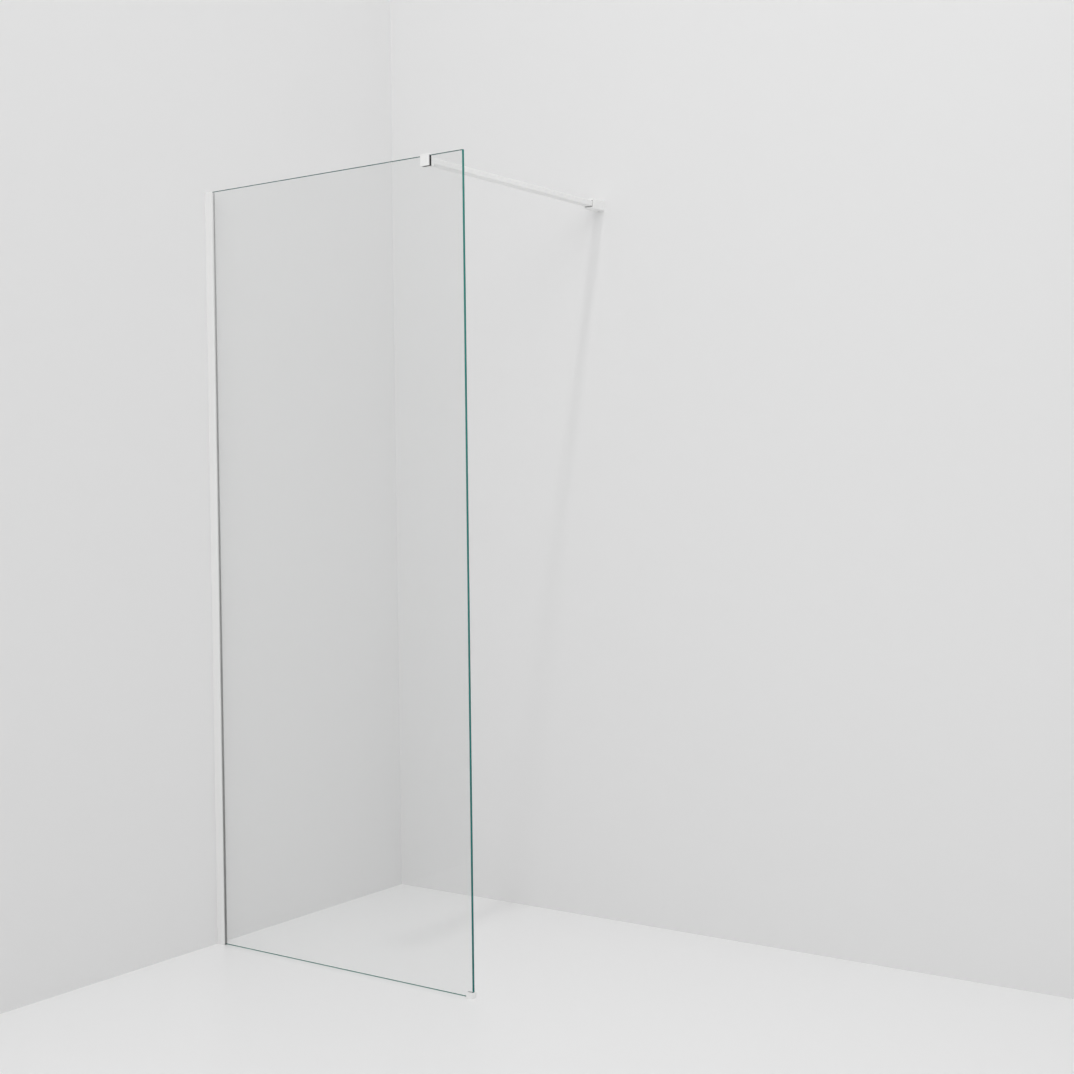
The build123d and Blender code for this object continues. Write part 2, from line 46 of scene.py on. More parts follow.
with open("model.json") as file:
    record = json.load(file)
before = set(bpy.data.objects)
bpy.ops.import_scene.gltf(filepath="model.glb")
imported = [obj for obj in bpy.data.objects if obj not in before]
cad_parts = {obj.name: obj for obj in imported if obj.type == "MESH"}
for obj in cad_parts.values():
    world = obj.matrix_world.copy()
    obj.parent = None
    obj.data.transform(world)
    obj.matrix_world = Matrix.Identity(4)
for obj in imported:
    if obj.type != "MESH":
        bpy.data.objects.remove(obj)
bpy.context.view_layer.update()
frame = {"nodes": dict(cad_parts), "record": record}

MM = 0.001
FACES_ALONG = 0.99  # least share of a direction that counts as lying along an axis
SMOOTH_ANGLE = math.radians(35)  # edges flatter than this are shaded smooth

NOISE_LOW, NOISE_HIGH = 0.3, 0.7  # nearly all of a noise texture's values lie between these
FINE_NOISE = (2.0, 0.5)  # detail and roughness of a noise with one size of grain
CLOUDY_NOISE = (4.0, 0.6)  # detail and roughness of a noise with large and small patches
PATCH_SCALE = 30.0  # patches in which a grained surface is a little smoother or rougher
BRUSH_SCALE = 4000.0
BRUSH_STRETCH = (1, 0.04, 1)  # draws the brushed lines out along Y
BRUSH_RELIEF = 0.03 * MM
STEEL_LIGHT, STEEL_DARK = 1.04, 0.94  # lightest and darkest patches of steel, times its colour


# Choosing and shaping


def deselect():
    """Leaves nothing selected, in object mode."""
    if bpy.context.object and bpy.context.object.mode != "OBJECT":
        bpy.ops.object.mode_set(mode="OBJECT")
    bpy.ops.object.select_all(action="DESELECT")


def only(piece):
    """Selects one piece and makes it active."""
    deselect()
    piece.select_set(True)
    bpy.context.view_layer.objects.active = piece


def add_block(name, low, high):
    """A cube primitive, scaled to fill the box from low to high, with its place in its mesh."""
    deselect()
    low, high = Vector(low), Vector(high)
    bpy.ops.mesh.primitive_cube_add(size=1, location=(low + high) / 2)
    piece = bpy.context.object
    piece.name = piece.data.name = name
    piece.scale = high - low
    bpy.ops.object.transform_apply(location=True, rotation=True, scale=True)
    return piece


def pick_edges(piece, wanted):
    """In edit mode, selects the edges for which wanted(edge) is true."""
    mesh = bmesh.from_edit_mesh(piece.data)
    for edge in mesh.edges:
        edge.select_set(False)
    for edge in mesh.edges:
        if wanted(edge):
            edge.select_set(True)
    bmesh.update_edit_mesh(piece.data)


def runs_along(edge, axis):
    """True for an edge that lies along the axis 0, 1 or 2."""
    line = edge.verts[1].co - edge.verts[0].co
    return abs(line[axis]) > FACES_ALONG * line.length


def trace_strip(name, outline, base, top):
    """A strip drawn point by point in the plane z = base, filled, and extruded up to z = top."""
    deselect()
    first = outline[0]
    bpy.ops.mesh.primitive_plane_add(size=MM, location=(first[0], first[1], base))
    strip = bpy.context.object
    strip.name = strip.data.name = name
    bpy.ops.object.transform_apply(location=True, rotation=True, scale=True)
    bpy.ops.object.mode_set(mode="EDIT")
    bpy.ops.mesh.select_all(action="SELECT")
    bpy.ops.mesh.merge(type="CENTER")
    for here, there in zip(outline, outline[1:]):
        step = (there[0] - here[0], there[1] - here[1], 0)
        bpy.ops.mesh.extrude_vertices_move(TRANSFORM_OT_translate={"value": step})
    bpy.ops.mesh.select_all(action="SELECT")
    bpy.ops.mesh.edge_face_add()
    bpy.ops.mesh.select_all(action="SELECT")
    bpy.ops.mesh.extrude_region_move(TRANSFORM_OT_translate={"value": (0, 0, top - base)})
    bpy.ops.mesh.select_all(action="SELECT")
    bpy.ops.mesh.normals_make_consistent(inside=False)
    bpy.ops.object.mode_set(mode="OBJECT")
    return strip


def soften(piece, width, segments=3, angle=40):
    """Rounds every edge sharper than the angle in degrees, then shades the piece smooth."""
    only(piece)
    bevel = piece.modifiers.new("rounded edges", "BEVEL")
    bevel.width = width
    bevel.segments = segments
    bevel.limit_method = "ANGLE"
    bevel.angle_limit = math.radians(angle)
    bevel.harden_normals = True
    bpy.ops.object.modifier_apply(modifier=bevel.name)
    bpy.ops.object.shade_smooth_by_angle(angle=SMOOTH_ANGLE)


def cut_away(piece, cutter):
    """Takes the cutter's shape out of the piece and removes the cutter."""
    only(piece)
    cut = piece.modifiers.new("cut", "BOOLEAN")
    cut.operation = "DIFFERENCE"
    cut.solver = "EXACT"
    cut.object = cutter
    bpy.ops.object.modifier_apply(modifier=cut.name)
    bpy.data.objects.remove(cutter)


def dress(piece, *finishes):
    """Gives the piece these materials in its slots, in order."""
    piece.data.materials.clear()
    for material in finishes:
        piece.data.materials.append(material)


# Shared node groups


def new_group(name, inputs, outputs):
    """An empty shader node group.

    Its inputs are given as (socket type, name, default) and its outputs as (socket type, name).
    """
    group = bpy.data.node_groups.new(name, "ShaderNodeTree")
    for kind, label, default in inputs:
        socket = group.interface.new_socket(name=label, in_out="INPUT", socket_type=kind)
        socket.default_value = default
    for kind, label in outputs:
        group.interface.new_socket(name=label, in_out="OUTPUT", socket_type=kind)
    group.nodes.new("NodeGroupInput").name = "in"
    group.nodes.new("NodeGroupOutput").name = "out"
    return group


def place_on_piece(group, scale=(1, 1, 1)):
    """Object coordinates times the scale, inside a group."""
    where = group.nodes.new("ShaderNodeTexCoord")
    mapping = group.nodes.new("ShaderNodeMapping")
    mapping.inputs["Scale"].default_value = scale
    group.links.new(where.outputs["Object"], mapping.inputs["Vector"])
    return mapping.outputs["Vector"]


def add_noise(group, vector, kind):
    """A noise texture on the vector, with the kind's detail and roughness."""
    noise = group.nodes.new("ShaderNodeTexNoise")
    detail, roughness = kind
    noise.inputs["Detail"].default_value = detail
    noise.inputs["Roughness"].default_value = roughness
    group.links.new(vector, noise.inputs["Vector"])
    return noise


def spread_noise(group, noise):
    """A range node that draws the noise's values out over 0 to 1, or over its own range."""
    spread = group.nodes.new("ShaderNodeMapRange")
    spread.inputs["From Min"].default_value = NOISE_LOW
    spread.inputs["From Max"].default_value = NOISE_HIGH
    group.links.new(noise.outputs["Fac"], spread.inputs["Value"])
    return spread


def put_out_colour(group, factor, first, second):
    """Mixes the first colour with the second by the factor, as the group's Color."""
    mix = group.nodes.new("ShaderNodeMix")
    mix.data_type = "RGBA"
    group.links.new(factor, mix.inputs["Factor"])
    group.links.new(first, mix.inputs["A"])
    group.links.new(second, mix.inputs["B"])
    group.links.new(mix.outputs["Result"], group.nodes["out"].inputs["Color"])


def put_out_roughness(group, noise):
    """Varies between the group's Roughness Low and High by the noise, as its Roughness."""
    given = group.nodes["in"].outputs
    spread = spread_noise(group, noise)
    group.links.new(given["Roughness Low"], spread.inputs["To Min"])
    group.links.new(given["Roughness High"], spread.inputs["To Max"])
    group.links.new(spread.outputs["Result"], group.nodes["out"].inputs["Roughness"])


def put_out_normal(group, noise):
    """Raises the noise by the group's Depth, as its Normal, and returns the bump node."""
    bump = group.nodes.new("ShaderNodeBump")
    group.links.new(group.nodes["in"].outputs["Depth"], bump.inputs["Strength"])
    group.links.new(noise.outputs["Fac"], bump.inputs["Height"])
    group.links.new(bump.outputs["Normal"], group.nodes["out"].inputs["Normal"])
    return bump


def build_drift_group():
    """Colour that drifts between two shades, as a real batch of coating or moulding does."""
    group = new_group(
        "colour drift",
        [
            ("NodeSocketColor", "Shade A", (0.8, 0.8, 0.8, 1)),
            ("NodeSocketColor", "Shade B", (0.78, 0.78, 0.78, 1)),
            ("NodeSocketFloat", "Patch Scale", 6.0),
        ],
        [("NodeSocketColor", "Color")],
    )
    given = group.nodes["in"].outputs
    noise = add_noise(group, place_on_piece(group), CLOUDY_NOISE)
    group.links.new(given["Patch Scale"], noise.inputs["Scale"])
    spread = spread_noise(group, noise)
    put_out_colour(group, spread.outputs["Result"], given["Shade A"], given["Shade B"])
    return group


def build_painted_shade_group():
    """Painted shade: colour that fades from one shade at the foot of the screen to another at its
    top, standing in for light that changes with height.
    """
    group = new_group(
        "painted shade with height",
        [
            ("NodeSocketColor", "Foot Color", (0.4, 0.4, 0.4, 1)),
            ("NodeSocketColor", "Top Color", (0.5, 0.5, 0.5, 1)),
            ("NodeSocketFloat", "Foot", 0.0),
            ("NodeSocketFloat", "Top", 1.0),
        ],
        [("NodeSocketColor", "Color")],
    )
    given = group.nodes["in"].outputs
    split = group.nodes.new("ShaderNodeSeparateXYZ")
    height = group.nodes.new("ShaderNodeMapRange")
    group.links.new(place_on_piece(group), split.inputs["Vector"])
    group.links.new(split.outputs["Z"], height.inputs["Value"])
    group.links.new(given["Foot"], height.inputs["From Min"])
    group.links.new(given["Top"], height.inputs["From Max"])
    put_out_colour(group, height.outputs["Result"], given["Foot Color"], given["Top Color"])
    return group


def build_grain_group():
    """Fine grain in the normal, and a roughness that varies in patches."""
    group = new_group(
        "fine grain",
        [
            ("NodeSocketFloat", "Grain Scale", 700.0),
            ("NodeSocketFloat", "Depth", 0.1),
            ("NodeSocketFloat", "Relief", 0.1 * MM),
            ("NodeSocketFloat", "Roughness Low", 0.3),
            ("NodeSocketFloat", "Roughness High", 0.45),
        ],
        [("NodeSocketFloat", "Roughness"), ("NodeSocketVector", "Normal")],
    )
    given = group.nodes["in"].outputs
    where = place_on_piece(group)
    grain = add_noise(group, where, FINE_NOISE)
    group.links.new(given["Grain Scale"], grain.inputs["Scale"])
    bump = put_out_normal(group, grain)
    group.links.new(given["Relief"], bump.inputs["Distance"])
    patches = add_noise(group, where, CLOUDY_NOISE)
    patches.inputs["Scale"].default_value = PATCH_SCALE
    put_out_roughness(group, patches)
    return group


def build_brush_group():
    """Brushed metal: fine lines along Y, in the roughness and the normal."""
    group = new_group(
        "brushed lines",
        [
            ("NodeSocketFloat", "Roughness Low", 0.22),
            ("NodeSocketFloat", "Roughness High", 0.42),
            ("NodeSocketFloat", "Depth", 0.15),
        ],
        [("NodeSocketFloat", "Roughness"), ("NodeSocketVector", "Normal")],
    )
    lines = add_noise(group, place_on_piece(group, BRUSH_STRETCH), FINE_NOISE)
    lines.inputs["Scale"].default_value = BRUSH_SCALE
    bump = put_out_normal(group, lines)
    bump.inputs["Distance"].default_value = BRUSH_RELIEF
    put_out_roughness(group, lines)
    return group


def shared_group(name):
    """The named group, built the first time that it is asked for."""
    builders = {
        "colour drift": build_drift_group,
        "painted shade with height": build_painted_shade_group,
        "fine grain": build_grain_group,
        "brushed lines": build_brush_group,
    }
    return bpy.data.node_groups.get(name) or builders[name]()


def use_group(material, name, **values):
    """Places a shared group in a material, with this material's own values."""
    node = material.node_tree.nodes.new("ShaderNodeGroup")
    node.node_tree = shared_group(name)
    for label, value in values.items():
        node.inputs[label.replace("_", " ")].default_value = value
    return node


# Kinds of material


def new_material(name):
    """A material, and the Principled BSDF that it comes with."""
    material = bpy.data.materials.new(name)
    material.use_nodes = True
    return material, material.node_tree.nodes["Principled BSDF"]


def shade(colour, factor):
    """The colour times the factor, as RGBA."""
    return (*[min(1.0, channel * factor) for channel in colour], 1.0)


def lead_to_surface(material, surface, tone, texture):
    """Leads a group's colour, and another's roughness and normal, to the surface."""
    links = material.node_tree.links
    links.new(tone.outputs["Color"], surface.inputs["Base Color"])
    links.new(texture.outputs["Roughness"], surface.inputs["Roughness"])
    links.new(texture.outputs["Normal"], surface.inputs["Normal"])


def painted_shade_on_screen(material, foot_colour, top_colour):
    """Painted shade: a colour that fades over the height of the pane, placed in the material."""
    low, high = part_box("glass_panel")
    return use_group(
        material,
        "painted shade with height",
        Foot_Color=foot_colour,
        Top_Color=top_colour,
        Foot=low.z,
        Top=high.z,
    )


def grained_material(
    name, colour, drift, grain_scale, depth, relief, roughness, specular, top_colour=None
):
    """Coating, plastic or rubber, with colour drift and fine grain.

    With a top colour, it fades from its colour at the foot of the screen to that one at the top,
    which is painted light and shade by height.
    """
    material, surface = new_material(name)
    tone = use_group(material, "colour drift")
    for label, factor in (("Shade A", 1 + drift), ("Shade B", 1 - drift)):
        tone.inputs[label].default_value = shade(colour, factor)
        if top_colour:
            fade = painted_shade_on_screen(material, shade(colour, factor), shade(top_colour, factor))
            material.node_tree.links.new(fade.outputs["Color"], tone.inputs[label])
    grain = use_group(
        material,
        "fine grain",
        Grain_Scale=grain_scale,
        Depth=depth,
        Relief=relief,
        Roughness_Low=roughness[0],
        Roughness_High=roughness[1],
    )
    surface.inputs["Specular IOR Level"].default_value = specular
    lead_to_surface(material, surface, tone, grain)
    return material


def pane_edge_material(name, foot_colour, top_colour, specular):
    """Polished green edge of clear glass, with painted shade that darkens it from the top of the
    pane to its foot.
    """
    material, surface = new_material(name)
    fade = painted_shade_on_screen(material, shade(foot_colour, 1), shade(top_colour, 1))
    polish = use_group(
        material,
        "fine grain",
        Grain_Scale=900.0,
        Depth=0.05,
        Relief=0.02 * MM,
        Roughness_Low=0.12,
        Roughness_High=0.2,
    )
    surface.inputs["Specular IOR Level"].default_value = specular
    lead_to_surface(material, surface, fade, polish)
    return material


def backdrop_material(name, colour, roughness, specular):
    """Plain plaster, see-through from its back, so that the corner never hides the screen."""
    material, surface = new_material(name)
    nodes, links = material.node_tree.nodes, material.node_tree.links
    surface.inputs["Base Color"].default_value = shade(colour, 1)
    surface.inputs["Roughness"].default_value = roughness
    surface.inputs["Specular IOR Level"].default_value = specular
    side = nodes.new("ShaderNodeNewGeometry")
    clear = nodes.new("ShaderNodeBsdfTransparent")
    mix = nodes.new("ShaderNodeMixShader")
    links.new(side.outputs["Backfacing"], mix.inputs["Fac"])
    links.new(surface.outputs["BSDF"], mix.inputs[1])
    links.new(clear.outputs["BSDF"], mix.inputs[2])
    links.new(mix.outputs["Shader"], nodes["Material Output"].inputs["Surface"])
    return material


# Finishes of the screen


def powder_coat(name, colours):
    """Satin white coating on metal, with a faint orange peel."""
    return grained_material(
        name,
        colours.coat,
        drift=0.008,
        grain_scale=650.0,
        depth=0.12,
        relief=0.08 * MM,
        roughness=(0.34, 0.44),
        specular=0.45,
    )


def white_plastic(name, colours):
    """White moulded plastic, in the coating's colour but duller."""
    return grained_material(
        name,
        colours.coat,
        drift=0.01,
        grain_scale=2200.0,
        depth=0.2,
        relief=0.04 * MM,
        roughness=(0.42, 0.52),
        specular=0.4,
    )


def grey_seal(name, colours):
    """Soft grey seal, with painted light that makes it lighter towards the top of the screen."""
    return grained_material(
        name,
        colours.seal,
        drift=0.05,
        grain_scale=1500.0,
        depth=0.2,
        relief=0.03 * MM,
        roughness=(0.5, 0.65),
        specular=0.35,
        top_colour=colours.seal_top_painted_light,
    )


def black_rubber(name, colours):
    """Matt black rubber."""
    return grained_material(
        name,
        colours.rubber,
        drift=0.15,
        grain_scale=1800.0,
        depth=0.4,
        relief=0.05 * MM,
        roughness=(0.6, 0.75),
        specular=0.3,
    )


def black_plastic(name, colours):
    """Black moulded plastic."""
    return grained_material(
        name,
        colours.rubber,
        drift=0.1,
        grain_scale=2400.0,
        depth=0.25,
        relief=0.03 * MM,
        roughness=(0.42, 0.55),
        specular=0.4,
    )


def brushed_steel(name, colours):
    """Brushed stainless steel, in small patches a little lighter and darker than its colour."""
    material, surface = new_material(name)
    surface.inputs["Metallic"].default_value = 1.0
    tone = use_group(
        material,
        "colour drift",
        Shade_A=shade(colours.steel, STEEL_LIGHT),
        Shade_B=shade(colours.steel, STEEL_DARK),
        Patch_Scale=80.0,
    )
    lead_to_surface(material, surface, tone, use_group(material, "brushed lines"))
    return material


def clear_glass(name, colours):
    """Clear toughened glass, with the faint roller wave that the oven leaves in it."""
    material, surface = new_material(name)
    wave = use_group(material, "fine grain", Grain_Scale=3.0, Depth=0.3, Relief=0.1 * MM)
    material.node_tree.links.new(wave.outputs["Normal"], surface.inputs["Normal"])
    surface.inputs["Base Color"].default_value = shade(colours.glass, 1)
    for label, value in (
        ("Roughness", 0.0),
        ("Metallic", 0.0),
        ("Transmission Weight", 1.0),
        ("IOR", 1.5),
    ):
        surface.inputs[label].default_value = value
    return material


def upright_edge(name, colours):
    """Polished edge on the upright sides of the glass, with painted shade darker towards its foot.
    """
    return pane_edge_material(name, colours.edge_foot_painted_shade, colours.edge_top, specular=0.35)


def level_edge(name, colours):
    """Duller edge on the top and bottom of the glass, in darker colours that are painted shade."""
    return pane_edge_material(
        name, colours.level_edge_foot_painted_shade, colours.level_edge_top_painted_shade, specular=0.0
    )


FINISHES = {
    "white powder coat": powder_coat,
    "white plastic": white_plastic,
    "grey seal": grey_seal,
    "black rubber": black_rubber,
    "black plastic": black_plastic,
    "brushed steel": brushed_steel,
    "clear glass": clear_glass,
    "upright glass edge": upright_edge,
    "level glass edge": level_edge,
}


def finish(name):
    """The named finish, built the first time that it is asked for."""
    made = bpy.data.materials.get(name)
    return made or FINISHES[name](name, bpy.context.scene.screen_finishes)


# What a user would change


def colour_property(name, description, default):
    """A colour, without its alpha."""
    return FloatVectorProperty(
        name=name, description=description, default=default, subtype="COLOR", size=3, min=0, max=1
    )


def length_property(name, description, default):
    """A length in metres."""
    return FloatProperty(
        name=name,
        description=description,
        default=default,
        subtype="DISTANCE",
        unit="LENGTH",
        min=0,
    )


def power_property(name, description, default):
    """A lamp's power in watts."""
    return FloatProperty(name=name, description=description, default=default, unit="POWER", min=0)


class ScreenSizes(bpy.types.PropertyGroup):
    """Rounded and ground edges of the screen's pieces"""

    arris: length_property("Arris", "Width of the ground corner along the glass edges", 1.2 * MM)
    seal_round: length_property("Seal rounding", "Radius of the seal's edges", 0.25 * MM)
    pad_round: length_property("Pad rounding", "Radius of the clamp pads' edges", 0.3 * MM)


class ScreenFinishes(bpy.types.PropertyGroup):
    """Colours of the screen's finishes"""

    coat: colour_property("Coating", "White coating and white plastic", (0.9, 0.9, 0.895))
    seal: colour_property("Seal, foot", "Grey seal at the foot", (0.34, 0.34, 0.34))
    # The seal's top colour is painted light: the seal lightens towards the top of the screen.
    seal_top_painted_light: colour_property("Seal, top", "Grey seal at the top", (0.66, 0.66, 0.66))
    rubber: colour_property("Black", "Black rubber and black plastic", (0.02, 0.02, 0.02))
    steel: colour_property("Steel", "Stainless steel screws and plates", (0.6, 0.6, 0.59))
    glass: colour_property("Glass", "Tint of the clear glass", (0.93, 0.935, 0.933))
    # The upright edge's colours are painted shade: it darkens from its top colour to its foot
    # colour.
    edge_top: colour_property(
        "Upright edge, top", "Upright glass edge at its top", (0.02, 0.22, 0.19)
    )
    edge_foot_painted_shade: colour_property(
        "Upright edge, foot", "Upright glass edge at its foot", (0.003, 0.13, 0.125)
    )
    # The top and bottom edges' darker colours are painted shade.
    level_edge_top_painted_shade: colour_property("Top edge", "Top edge of the glass", (0.005, 0.09, 0.075))
    level_edge_foot_painted_shade: colour_property("Bottom edge", "Bottom edge of the glass", (0.0, 0.13, 0.1))


class StageLight(bpy.types.PropertyGroup):
    """Colours of the plain corner, and the light in it"""

    wall: colour_property("Walls", "Plain walls of the corner", (0.835, 0.835, 0.835))
    floor: colour_property("Floor", "Plain floor", (0.85, 0.85, 0.85))
    sky: FloatProperty(
        name="Soft light", description="Strength of the light from all round", default=0.47, min=0
    )
    key: power_property("Key light", "Power of the lamp overhead", 188.0)
    key_size: length_property("Key size", "Side of the square lamp overhead", 0.48)
    fill: power_property("Fill light", "Power of the broad lamp in front", 51.0)
    fill_size: length_property("Fill size", "Side of the broad lamp in front", 3.0)
    side: power_property("Side light", "Power of the low lamp at the right", 1.9)
    side_size: length_property("Side light size", "Side of the low lamp at the right", 0.8)
    wash: power_property("Wall light", "Power of the lamp that lights the top of the walls", 12.0)
    wash_size: length_property("Wall light size", "Side of the lamp that lights the walls", 2.0)


# Pieces


class SCREEN_OT_glass_panel(bpy.types.Operator):
    """Clear glass pane with ground corners and polished edges"""

    bl_idname = "screen.glass_panel"
    bl_label = "Glass panel"

    CLEAR, UPRIGHT, LEVEL = range(3)

    def execute(self, context):
        sizes = context.scene.screen_sizes
        low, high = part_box("glass_panel")
        pane = add_block("glass_pane", low, high)
        bpy.ops.object.mode_set(mode="EDIT")
        pick_edges(pane, lambda edge: not runs_along(edge, 1))
        bpy.ops.mesh.bevel(offset=sizes.arris, offset_type="OFFSET", segments=1, affect="EDGES")
        bpy.ops.object.mode_set(mode="OBJECT")
        dress(
            pane, finish("clear glass"), finish("upright glass edge"), finish("level glass edge")
        )
        # Top and bottom faces take the level edge, whose darker colours are painted shade.
        for face in pane.data.polygons:
            across, through, up = (abs(part) for part in face.normal)
            if through > FACES_ALONG:
                face.material_index = self.CLEAR
            elif across > up:
                face.material_index = self.UPRIGHT
            else:
                face.material_index = self.LEVEL
        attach(pane, "glass_unit")
        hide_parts("glass_panel")
        pane.visible_shadow = False
        pane.visible_diffuse = False
        return {"FINISHED"}


class SCREEN_OT_glazing_gasket(bpy.types.Operator):
    """Grey gasket round the glass edge, with a soft lip on each side"""

    bl_idname = "screen.glazing_gasket"
    bl_label = "Glazing gasket"

    WALL = 1.2 * MM
    LIP_CURVE = ((0.45, 0.1 * MM), (0.8, 0.9 * MM))  # share of the lip's length, fall from its top
    LIP_EDGE = 0.3 * MM

    def execute(self, context):
        low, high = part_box("glazing_gasket")
        pane_low, pane_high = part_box("glass_panel")
        channel_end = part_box("glazing_channel")[1].x
        side = pane_high.y
        lip_length = high.x - channel_end
        curve = [
            (channel_end + share * lip_length, high.y - fall) for share, fall in self.LIP_CURVE
        ]
        half = [
            (low.x, 0),
            (low.x, side + self.WALL),
            (channel_end, side + self.WALL),
            (channel_end, high.y),
            *curve,
            (high.x, side + self.LIP_EDGE),
            (high.x, side),
            (pane_low.x, side),
        ]
        outline = half + [(x, -y) for x, y in reversed(half[1:])]
        seal = trace_strip("gasket_strip", outline, low.z, high.z)
        soften(seal, context.scene.screen_sizes.seal_round, segments=2, angle=50)
        dress(seal, finish("grey seal"))
        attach(seal, "glass_unit")
        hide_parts("glazing_gasket")
        return {"FINISHED"}


class SCREEN_OT_clamp_pads(bpy.types.Operator):
    """Black rubber pads between the clamp and the glass"""

    bl_idname = "screen.clamp_pads"
    bl_label = "Clamp pads"

    def execute(self, context):
        sizes = context.scene.screen_sizes
        for node in ("clamp_pad_front", "clamp_pad_rear"):
            low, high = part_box(node)
            pad = add_block(node.replace("clamp_pad", "grip_pad"), low, high)
            soften(pad, sizes.pad_round)
            dress(pad, finish("black rubber"))
            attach(pad, "bar_unit")
            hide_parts(node)
        return {"FINISHED"}


class SCREEN_OT_shoe_liner(bpy.types.Operator):
    """Soft grey liner between the corner shoe and the glass"""

    bl_idname = "screen.shoe_liner"
    bl_label = "Shoe liner"

    CUT_PAST = 5 * MM  # how far the glass's room reaches past the liner, so that it opens it

    def execute(self, context):
        low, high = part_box("shoe_liner")
        pane_low, pane_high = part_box("glass_panel")
        liner = add_block("liner_tray", low, high)
        room = add_block(
            "glass_room",
            (low.x - self.CUT_PAST, pane_low.y, pane_low.z),
            (pane_high.x, pane_high.y, high.z + self.CUT_PAST),
        )
        cut_away(liner, room)
        soften(liner, context.scene.screen_sizes.seal_round, segments=2)
        dress(liner, finish("grey seal"))
        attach(liner, "glass_unit")
        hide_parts("shoe_liner")
        return {"FINISHED"}


class SCREEN_OT_finishes(bpy.types.Operator):
    """Coating, plastic, rubber and steel on the pieces that keep their machined shape"""

    bl_idname = "screen.finishes"
    bl_label = "Finishes"

    FINISH_OF_SLOT = {
        "white_paint": "white powder coat",
        "white_plastic": "white plastic",
        "clear_glass": "clear glass",
        "grey_rubber": "grey seal",
        "black_rubber": "black rubber",
        "black_plastic": "black plastic",
        "screw_steel": "brushed steel",
    }

    def execute(self, context):
        for part in frame["record"]["subparts"]:
            node = frame["nodes"][part["node"]]
            dress(node, finish(self.FINISH_OF_SLOT[part["material_slot"]]))
        return {"FINISHED"}


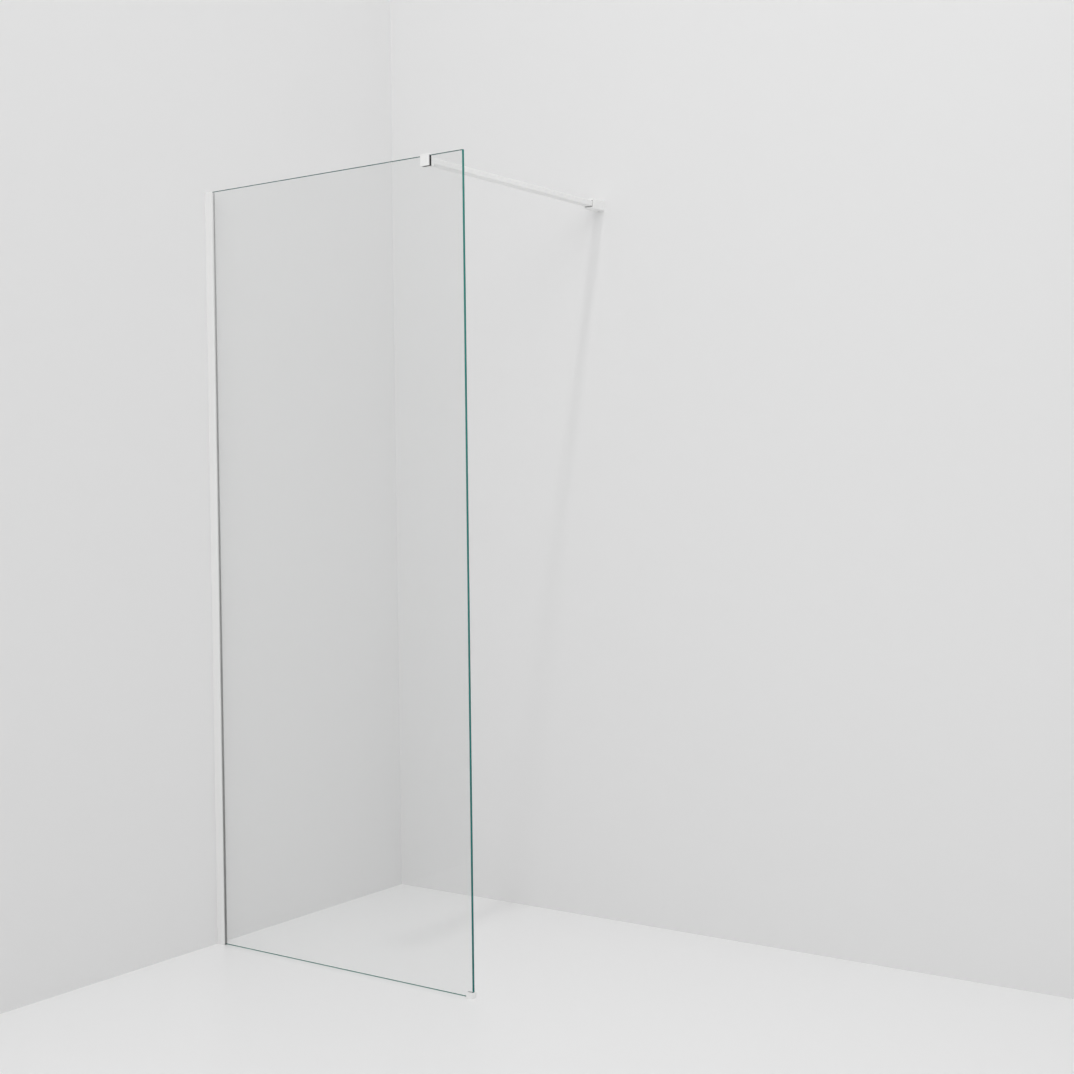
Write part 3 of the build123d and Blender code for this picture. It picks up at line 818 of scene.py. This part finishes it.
class SCREEN_OT_stage(bpy.types.Operator):
    """Plain pale corner, soft light, four lamps and the camera"""

    bl_idname = "screen.stage"
    bl_label = "Stage"

    CAMERA_PLACE = (3.267558, -3.081670, 1.249199)
    CAMERA_YAW = math.radians(35.0284)
    CAMERA_PITCH = math.radians(-1.5101)
    CAMERA_ROLL = math.radians(0.6490)
    SENSOR = 36.0
    LENS = 52.742
    CLIP_END = 50.0
    ROOM = 6.0
    WINDOW_INSIDE = 0.5 * MM  # how far a wall's window stays inside the piece's outline
    CORNER_OF_VERTEX = (0, 1, 3, 2)  # a plane's vertices come in two rows, its corners go round
    SEEN_SKY = (0.8, 0.8, 0.8, 1)
    KEY_TRAVEL = (-0.162, 0.133, -0.973)
    KEY_DISTANCE = 8.0
    FILL_PLACE = (2.4, -4.6, 3.4)
    FILL_AIM = (2.4, 0.8, 1.6)
    SIDE_PLACE = (4.6, -1.9, 0.6)
    SIDE_AIM = (0.8, 0.3, 1.0)
    SIDE_SPREAD = math.radians(70)
    WASH_PLACE = (2.6, -1.3, 3.9)
    WASH_AIM = (0.2, 0.5, 2.7)

    def add_sheet(self, name, corners, material):
        """A flat sheet through four corners, given anticlockwise as seen from its front."""
        deselect()
        bpy.ops.mesh.primitive_plane_add(size=1)
        sheet = bpy.context.object
        sheet.name = sheet.data.name = name
        for vertex, index in zip(sheet.data.vertices, self.CORNER_OF_VERTEX):
            vertex.co = corners[index]
        sheet.data.update()
        dress(sheet, material)
        return sheet

    def add_wall(self, name, origin, across, window, material):
        """A wall on its foot line, in sheets round the window where a piece is fixed to it.

        The window is (start, end, bottom, top), with start and end measured along the foot line.
        """
        start, end, bottom, top = window
        sheets = (
            (0, start, 0, self.ROOM),
            (end, self.ROOM, 0, self.ROOM),
            (start, end, 0, bottom),
            (start, end, top, self.ROOM),
        )
        for number, (left, right, foot, head) in enumerate(sheets):
            if right > left and head > foot:
                corners = [
                    Vector(origin) + Vector(across) * along + Vector((0, 0, up))
                    for along, up in ((left, foot), (right, foot), (right, head), (left, head))
                ]
                self.add_sheet(f"{name}_{number}", corners, material)

    def add_room(self, light):
        """Floor and two walls, each open behind what is fixed to it, so that its back is lit."""
        room, inside = self.ROOM, self.WINDOW_INSIDE
        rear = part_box("wall_block")[1].y
        front = rear - room
        plaster = backdrop_material("plain wall", light.wall, roughness=0.7, specular=0.2)
        ground = backdrop_material("plain floor", light.floor, roughness=0.3, specular=0.3)
        self.add_sheet(
            "stage_floor", [(0, front, 0), (room, front, 0), (room, rear, 0), (0, rear, 0)], ground
        )
        low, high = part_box("wall_channel")
        behind_channel = (low.y + inside - front, high.y - inside - front, 0, high.z - inside)
        self.add_wall("stage_left_wall", (0, front, 0), (0, 1, 0), behind_channel, plaster)
        low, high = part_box("wall_block")
        behind_block = (low.x + inside, high.x - inside, low.z + inside, high.z - inside)
        self.add_wall("stage_rear_wall", (0, rear, 0), (1, 0, 0), behind_block, plaster)

    def add_sky(self, light):
        """Soft light from all round, which is seen in its own plain shade past the walls."""
        world = bpy.data.worlds.new("soft light")
        bpy.context.scene.world = world
        world.use_nodes = True
        nodes, links = world.node_tree.nodes, world.node_tree.links
        sky = nodes["Background"]
        sky.inputs["Color"].default_value = (1, 1, 1, 1)
        sky.inputs["Strength"].default_value = light.sky
        seen = nodes.new("ShaderNodeBackground")
        seen.inputs["Color"].default_value = self.SEEN_SKY
        ray = nodes.new("ShaderNodeLightPath")
        shown = ray.outputs["Is Camera Ray"]
        for kind in ("Is Glossy Ray", "Is Transmission Ray"):
            either = nodes.new("ShaderNodeMath")
            either.operation = "MAXIMUM"
            links.new(shown, either.inputs[0])
            links.new(ray.outputs[kind], either.inputs[1])
            shown = either.outputs["Value"]
        mix = nodes.new("ShaderNodeMixShader")
        links.new(shown, mix.inputs["Fac"])
        links.new(sky.outputs["Background"], mix.inputs[1])
        links.new(seen.outputs["Background"], mix.inputs[2])
        links.new(mix.outputs["Shader"], nodes["World Output"].inputs["Surface"])

    def add_lamp(self, name, place, aim, size, power, spread=math.pi):
        """A square lamp at the place, turned to shine along the aim."""
        deselect()
        bpy.ops.object.light_add(type="AREA", location=place)
        lamp = bpy.context.object
        lamp.name = name
        lamp.rotation_euler = aim.to_track_quat("-Z", "Y").to_euler()
        lamp.data.shape = "SQUARE"
        lamp.data.size = size
        lamp.data.energy = power
        lamp.data.spread = spread
        lamp.visible_camera = False
        lamp.visible_glossy = False
        lamp.visible_transmission = False

    def add_lamps(self, light):
        """A lamp overhead, a broad one in front, and two weak ones that even out the walls."""
        clamp_low, clamp_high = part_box("clamp_body")
        travel = Vector(self.KEY_TRAVEL).normalized()
        over_clamp = (clamp_low + clamp_high) / 2 - travel * self.KEY_DISTANCE
        self.add_lamp("stage_key", over_clamp, travel, light.key_size, light.key)
        place = Vector(self.FILL_PLACE)
        aim = Vector(self.FILL_AIM) - place
        self.add_lamp("stage_fill", place, aim, light.fill_size, light.fill)
        place = Vector(self.SIDE_PLACE)
        aim = Vector(self.SIDE_AIM) - place
        self.add_lamp("stage_side", place, aim, light.side_size, light.side, self.SIDE_SPREAD)
        place = Vector(self.WASH_PLACE)
        aim = Vector(self.WASH_AIM) - place
        self.add_lamp("stage_wash", place, aim, light.wash_size, light.wash)

    def add_camera(self):
        """The camera, turned by its yaw from +Y, its pitch and its roll."""
        yaw, pitch, roll = self.CAMERA_YAW, self.CAMERA_PITCH, self.CAMERA_ROLL
        ahead = Vector(
            (-math.sin(yaw) * math.cos(pitch), math.cos(yaw) * math.cos(pitch), math.sin(pitch))
        )
        level_right = ahead.cross(Vector((0, 0, 1))).normalized()
        level_down = ahead.cross(level_right)
        right = math.cos(roll) * level_right + math.sin(roll) * level_down
        down = -math.sin(roll) * level_right + math.cos(roll) * level_down
        turn = Matrix((right, -down, -ahead)).transposed().to_4x4()
        deselect()
        bpy.ops.object.camera_add()
        camera = bpy.context.object
        camera.name = "stage_camera"
        camera.matrix_world = Matrix.Translation(self.CAMERA_PLACE) @ turn
        camera.data.sensor_width = self.SENSOR
        camera.data.lens = self.LENS
        camera.data.clip_end = self.CLIP_END
        bpy.context.scene.camera = camera

    def execute(self, context):
        light = context.scene.stage_light
        self.add_room(light)
        self.add_sky(light)
        self.add_lamps(light)
        self.add_camera()
        context.scene.view_settings.view_transform = "Standard"
        return {"FINISHED"}


class SCREEN_PT_panel(bpy.types.Panel):
    """Lists the pieces of the shower screen and what can be changed"""

    bl_label = "Shower screen"
    bl_idname = "SCREEN_PT_panel"
    bl_space_type = "VIEW_3D"
    bl_region_type = "UI"
    bl_category = "Shower screen"

    def draw(self, context):
        layout = self.layout
        for group in (
            context.scene.screen_sizes,
            context.scene.screen_finishes,
            context.scene.stage_light,
        ):
            box = layout.box()
            for label in group.__annotations__:
                box.prop(group, label)
        for operator in OPERATORS:
            layout.operator(operator.bl_idname)


OPERATORS = (
    SCREEN_OT_finishes,
    SCREEN_OT_glass_panel,
    SCREEN_OT_glazing_gasket,
    SCREEN_OT_clamp_pads,
    SCREEN_OT_shoe_liner,
    SCREEN_OT_stage,
)
CLASSES = (ScreenSizes, ScreenFinishes, StageLight, *OPERATORS, SCREEN_PT_panel)


def register():
    """Registers the classes and gives the scene their properties."""
    for made in CLASSES:
        bpy.utils.register_class(made)
    bpy.types.Scene.screen_sizes = PointerProperty(type=ScreenSizes)
    bpy.types.Scene.screen_finishes = PointerProperty(type=ScreenFinishes)
    bpy.types.Scene.stage_light = PointerProperty(type=StageLight)


def unregister():
    """Takes away what register gave."""
    del bpy.types.Scene.stage_light
    del bpy.types.Scene.screen_finishes
    del bpy.types.Scene.screen_sizes
    for made in reversed(CLASSES):
        bpy.utils.unregister_class(made)


def main():
    """Registers the classes, then builds every piece."""
    register()
    for operator in OPERATORS:
        group, name = operator.bl_idname.split(".")
        getattr(getattr(bpy.ops, group), name)()


if __name__ == "__main__":
    main()
